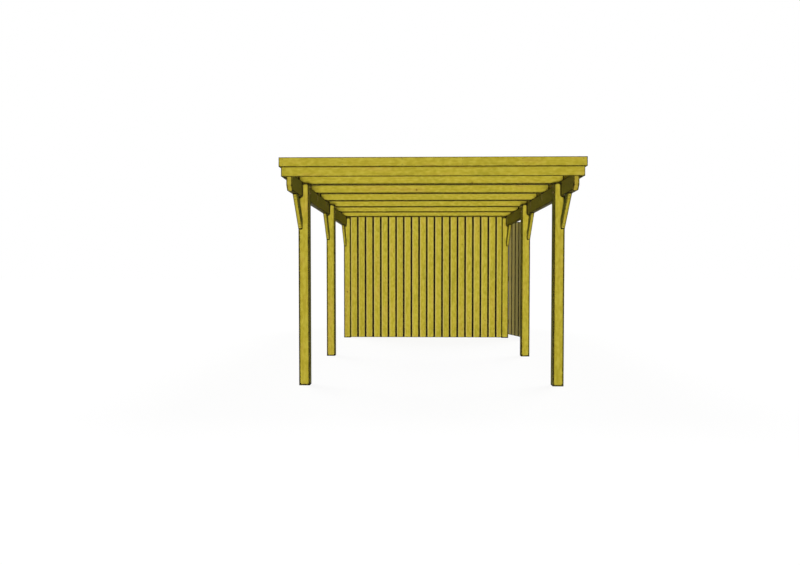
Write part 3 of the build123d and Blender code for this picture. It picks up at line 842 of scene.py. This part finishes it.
def board_wall(name, replaced, start, facing, length, pitch, heights, thickness, seed, fall=0.0):
    """Boards from a start corner on the outer face, running to the right as seen from outside."""
    bottom, top = heights
    wall = board_blank(name, pitch, thickness, bottom, top)
    built(wall, boarding, {"Count": boards_in(length, pitch), "Pitch": pitch, "Length": length, "Fall": fall,
                           "Middle": (bottom + top) / 2, "Seed": seed, "Material": wall_pine})
    wall.data.transform(Matrix.Translation((start[0], start[1], 0)) @ Matrix.Rotation(facing, 4, "Z"))
    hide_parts(replaced)
    return wall


face_front = 0.0
face_rear = math.pi
face_left = -math.pi / 2
face_right = math.pi / 2

low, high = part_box("store_front_wall")
board_thickness = high.y - low.y
wall_length = high.x - low.x
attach(board_wall("boards_front", "store_front_wall", low, face_front, wall_length, cover_width,
                   (low.z, high.z), board_thickness, 1), "carport")

low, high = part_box("store_rear_wall")
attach(board_wall("boards_rear", "store_rear_wall", high, face_rear, high.x - low.x, cover_width,
                   (low.z, high.z), board_thickness, 2), "carport")

low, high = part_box("store_left_wall")
length = high.y - low.y
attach(board_wall("boards_left", "store_left_wall", (low.x, high.y), face_left, length, even_pitch(length),
                   (low.z, high.z - roof_fall * length), board_thickness, 3, -roof_fall), "carport")

for name, node, seed in (("boards_right", "store_right_wall", 4), ("boards_corner", "store_corner_wall", 6)):
    low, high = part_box(node)
    length = high.y - low.y
    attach(board_wall(name, node, (high.x, low.y), face_right, length, even_pitch(length),
                       (low.z, high.z), board_thickness, seed, roof_fall), "carport")

# Two screws hold every board to every rail behind it
rail_heights = (0.15, 1.05, 1.89)
screw_from_edge = 0.026


def board_screws(start, facing, length, pitch, heights):
    """The places of two screws in every board at every height, on the outer face of a wall."""
    run = Vector((math.cos(facing), math.sin(facing), 0))
    outward = Vector((math.sin(facing), -math.cos(facing), 0))
    places = []
    for number in range(boards_in(length, pitch)):
        left = number * pitch
        right = min(left + pitch - gap_width, length)
        for along in (left + screw_from_edge, right - screw_from_edge):
            for height in heights:
                places.append((Vector((start[0], start[1], height)) + run * along, outward))
    return places


places = []
for wall, facing in (("front", face_front), ("rear", face_rear), ("left", face_left), ("right", face_right),
                     ("corner", face_right)):
    low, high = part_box(f"store_{wall}_wall")
    start = {"front": low, "rear": high, "left": (low.x, high.y)}.get(wall, (high.x, low.y))
    if wall in ("front", "rear"):
        places += board_screws(start, facing, high.x - low.x, cover_width, rail_heights)
    else:
        length = high.y - low.y
        places += board_screws(start, facing, length, even_pitch(length), rail_heights)
fixings("wall_screws", turned("wall_screw", fascia_screw), places, yellow_zinc)


# Rails and studs
# Three rails of the same pine between the posts carry the boards of each wall. One stud carries the
# door's hinges and the other closes the doorway.
finish_timber("wall_rails", across_drive)
finish_timber("hinge_stud", upright)
finish_timber("door_stud", upright)


# Door
# The door is boarded as the walls are, on three ledges with a brace between each two. It hangs on the stud
# behind the corner wall and closes over the beam. Its boards are painted lighter, and their outer face paler
# and greyer, as painted light for a leaf that stands edge-on to the front lamp. It is laid out closed here,
# and then turned to where it stands open.
hinge = frame["joints"][0]
pin = Vector(hinge["pos_m"])
open_turn = math.radians(hinge["range_deg"][0])
leaf_width = 0.74
# Painted light: the door's wood is lighter, and its outer face paler and greyer
door_painted_light = 1.12
door_painted_pale = 0.6
door_arris_reach = 0.018
door_sapwood = (0.0, 0.045)
pin_to_leaf = 0.006
pin_to_face = 0.007
leaf_low, leaf_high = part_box("door_boards")

door_pine = treated_pine("treated_pine_door_boards", shade=door_painted_light, painted_pale=door_painted_pale,
                         arris=door_arris_reach, sapwood_band=door_sapwood)
leaf = board_blank("door_boarding", cover_width, board_thickness, leaf_low.z, leaf_high.z)
built(leaf, boarding, {"Count": boards_in(leaf_width, cover_width), "Pitch": cover_width,
                       "Length": leaf_width, "Fall": 0.0, "Middle": (leaf_low.z + leaf_high.z) / 2, "Seed": 5,
                       "Material": door_pine})
leaf_edge = Vector((pin.x - pin_to_face, pin.y + pin_to_leaf, 0))
closed = Matrix.Translation(leaf_edge) @ Matrix.Rotation(face_right, 4, "Z")
swing = Matrix.Translation(pin) @ Matrix.Rotation(open_turn, 4, "Z") @ Matrix.Translation(-pin)
leaf.data.transform(swing @ closed)
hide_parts("door_boards")
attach(leaf, "door")

finish_timber("door_ledges", (-math.pi / 2, 0, open_turn), arris=board_arris_reach)
finish_timber("door_braces", (-math.pi / 4, 0, open_turn), arris=board_arris_reach)

# The boards are screwed to the ledges from outside
ledge_screw_heights = (0.23, 0.27, 1.02, 1.06, 1.81, 1.85)
places = board_screws(leaf_edge, face_right, leaf_width, cover_width, ledge_screw_heights)
fixings("door_screws", turned("door_screw", fascia_screw), places, yellow_zinc, "door", turn=swing)


# Roof sheet
# Steel sheet is folded to ribs 35 mm deep. Its coat is a smooth satin grey, with faint clouds of dust, and
# the edge flashings have the same.
coated_steel = plain_material("coated_steel", "#9BA0A2", "#8B8C86", patch=0.12, metallic=0.0, roughness=0.45,
                              relief=0.0004)

# Hexagon screws with a rubber washer hold it down to every rafter, in every second valley and at the edges,
# where a flashing lies over it
sheet_pitch = 0.207
sheet_valleys = 6
edge_screws = 1.462
sheet_metal = 0.00075
roof_screw = [(16, [(0.0095, -0.0005), (0.0095, 0.0014), (0.0085, 0.0022)]),
              (12, [(0.0065, 0.002), (0.0062, 0.0028)]),
              (6, [(0.0046, 0.0026), (0.0046, 0.0068), (0.0041, 0.0074)])]
low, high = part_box("roof_sheet")
places = []
for node in rafters:
    rafter_low, rafter_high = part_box(node)
    y = (rafter_low.y + rafter_high.y) / 2
    middle = (low.x + high.x) / 2
    for valley in range(-sheet_valleys, sheet_valleys + 1, 2):
        places.append(((middle + valley * sheet_pitch, y, roof_height(y, rafter_above_beam + sheet_metal)),
                       (0, roof_fall, 1)))
    for x in (middle - edge_screws, middle + edge_screws):
        places.append(((x, y, roof_height(y, rafter_above_beam + 2 * sheet_metal)), (0, roof_fall, 1)))
fixings("roof_screws", turned("roof_screw", roof_screw), places, coated_steel)
for node in ("roof_sheet", "edge_flashings"):
    finish(node, coated_steel)


# Gutter
# A box gutter folded from galvanised sheet lies behind the rear fascia, with a downpipe on the rear right
# post. Galvanised steel is a pale grey, clouded and half matt.
galvanised = plain_material("galvanised_steel", "#B4B9BC", "#979DA1", patch=0.015, metallic=1.0,
                            roughness=0.42, relief=0.0002)
for node in ("gutter", "downpipe", "downpipe_clips"):
    finish(node, galvanised)

# Straps across its mouth keep it square, each hooked over the rear lip
strap_width = 0.025
strap_metal = 0.002
strap_spacing = 0.5
strap_hook = 0.012
strap_play = 0.0015
strap_from_back = 0.001
strap_below_lip = 0.0022
gutter_low, gutter_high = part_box("gutter")
strap_run = gutter_high.y - gutter_low.y - strap_play
strap_line = [(0, 0), (strap_run, 0), (strap_run, -strap_hook), (strap_run - strap_metal, -strap_hook),
              (strap_run - strap_metal, -strap_metal), (0, -strap_metal)]
count = len(strap_line)
points = [(x, y, z) for x in (-strap_width / 2, strap_width / 2) for y, z in strap_line]
faces = [tuple(range(count)), tuple(reversed(range(count, 2 * count)))]
faces += [(i, i + count, (i + 1) % count + count, (i + 1) % count) for i in range(count)]
strap = flat_faced("gutter_strap", points, faces)
straps = int((gutter_high.x - gutter_low.x) / strap_spacing)
places = [(((gutter_low.x + gutter_high.x) / 2 + (number - (straps - 1) / 2) * strap_spacing,
            gutter_low.y + strap_from_back, gutter_high.z - strap_below_lip), (0, roof_fall, 1))
          for number in range(straps)]
fixings("gutter_straps", strap, places, galvanised, spin=0.0)

# Two screws hold the plate of each of the downpipe's clips to the post
clip_screw_heights = (0.45, 1.80)
clip_screw_out = 0.021
clip_plate = 0.002
clip_low, clip_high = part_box("downpipe_clips")
post_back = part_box("post_rear_right")[1].y
pipe_middle = (clip_low.x + clip_high.x) / 2
places = []
for height in clip_screw_heights:
    for x in (pipe_middle - clip_screw_out, pipe_middle + clip_screw_out):
        places.append(((x, post_back + clip_plate, height), (0, 1, 0)))
fixings("clip_screws", turned("clip_screw", fascia_screw), places, yellow_zinc)


# Hinges and pull
# Three galvanised butt hinges carry the door, and its pull is of bent round bar. The pull's powder coat is
# a satin black with a very fine grain.
black_coat = plain_material("black_powder_coat", "#161616", "#202020", patch=0.001, metallic=0.0,
                            roughness=0.5, relief=0.00005)
finish("hinges_on_post", galvanised)
finish("hinges_on_door", galvanised)
finish("door_pull", black_coat)

# Three screws in every plate
hinge_heights = (0.25, 1.04, 1.83)
hinge_metal = 0.002
plate_screws = ((0.034, 0.03), (0.026, 0.0), (0.034, -0.03))
post_places = []
leaf_places = []
for height in hinge_heights:
    for inset, up in plate_screws:
        post_places.append(((pin.x - inset, pin.y - pin_to_leaf + hinge_metal, height + up), (0, 1, 0)))
        leaf_places.append(((pin.x - inset, pin.y + pin_to_leaf - hinge_metal, height + up), (0, -1, 0)))
fixings("post_hinge_screws", turned("hinge_screw", fascia_screw), post_places, yellow_zinc)
fixings("leaf_hinge_screws", turned("hinge_screw", fascia_screw), leaf_places, yellow_zinc, "door",
        turn=swing)


# Floor
# A plain pale studio floor keeps the carport's soft shadow. To the eye alone it glows, so that it is nearly
# white and still throws little light back on the wood.
floor_reach = 40.0
floor_grey = (0.10, 0.10, 0.10, 1)
floor_lift = 0.925

floor_mesh = bpy.data.meshes.new("floor")
floor_mesh.from_pydata([(-floor_reach, -floor_reach, 0), (floor_reach, -floor_reach, 0),
                        (floor_reach, floor_reach, 0), (-floor_reach, floor_reach, 0)], [], [(0, 1, 2, 3)])
floor = bpy.data.objects.new("floor", floor_mesh)
bpy.context.scene.collection.objects.link(floor)
floor_material = bpy.data.materials.new("floor")
floor_material.use_nodes = True
ground = floor_material.node_tree
ground.nodes.clear()
matt = add(ground, "ShaderNodeBsdfDiffuse", {"Color": floor_grey})
glow = add(ground, "ShaderNodeEmission", {"Strength": floor_lift})
unlit = add(ground, "ShaderNodeEmission", {"Strength": 0.0})
lift = add(ground, "ShaderNodeMixShader", {0: seen_directly(ground), 1: unlit.outputs[0], 2: glow.outputs[0]})
both = add(ground, "ShaderNodeAddShader", {0: matt.outputs[0], 1: lift.outputs[0]})
add(ground, "ShaderNodeOutputMaterial", {"Surface": both.outputs[0]})
floor_mesh.materials.append(floor_material)
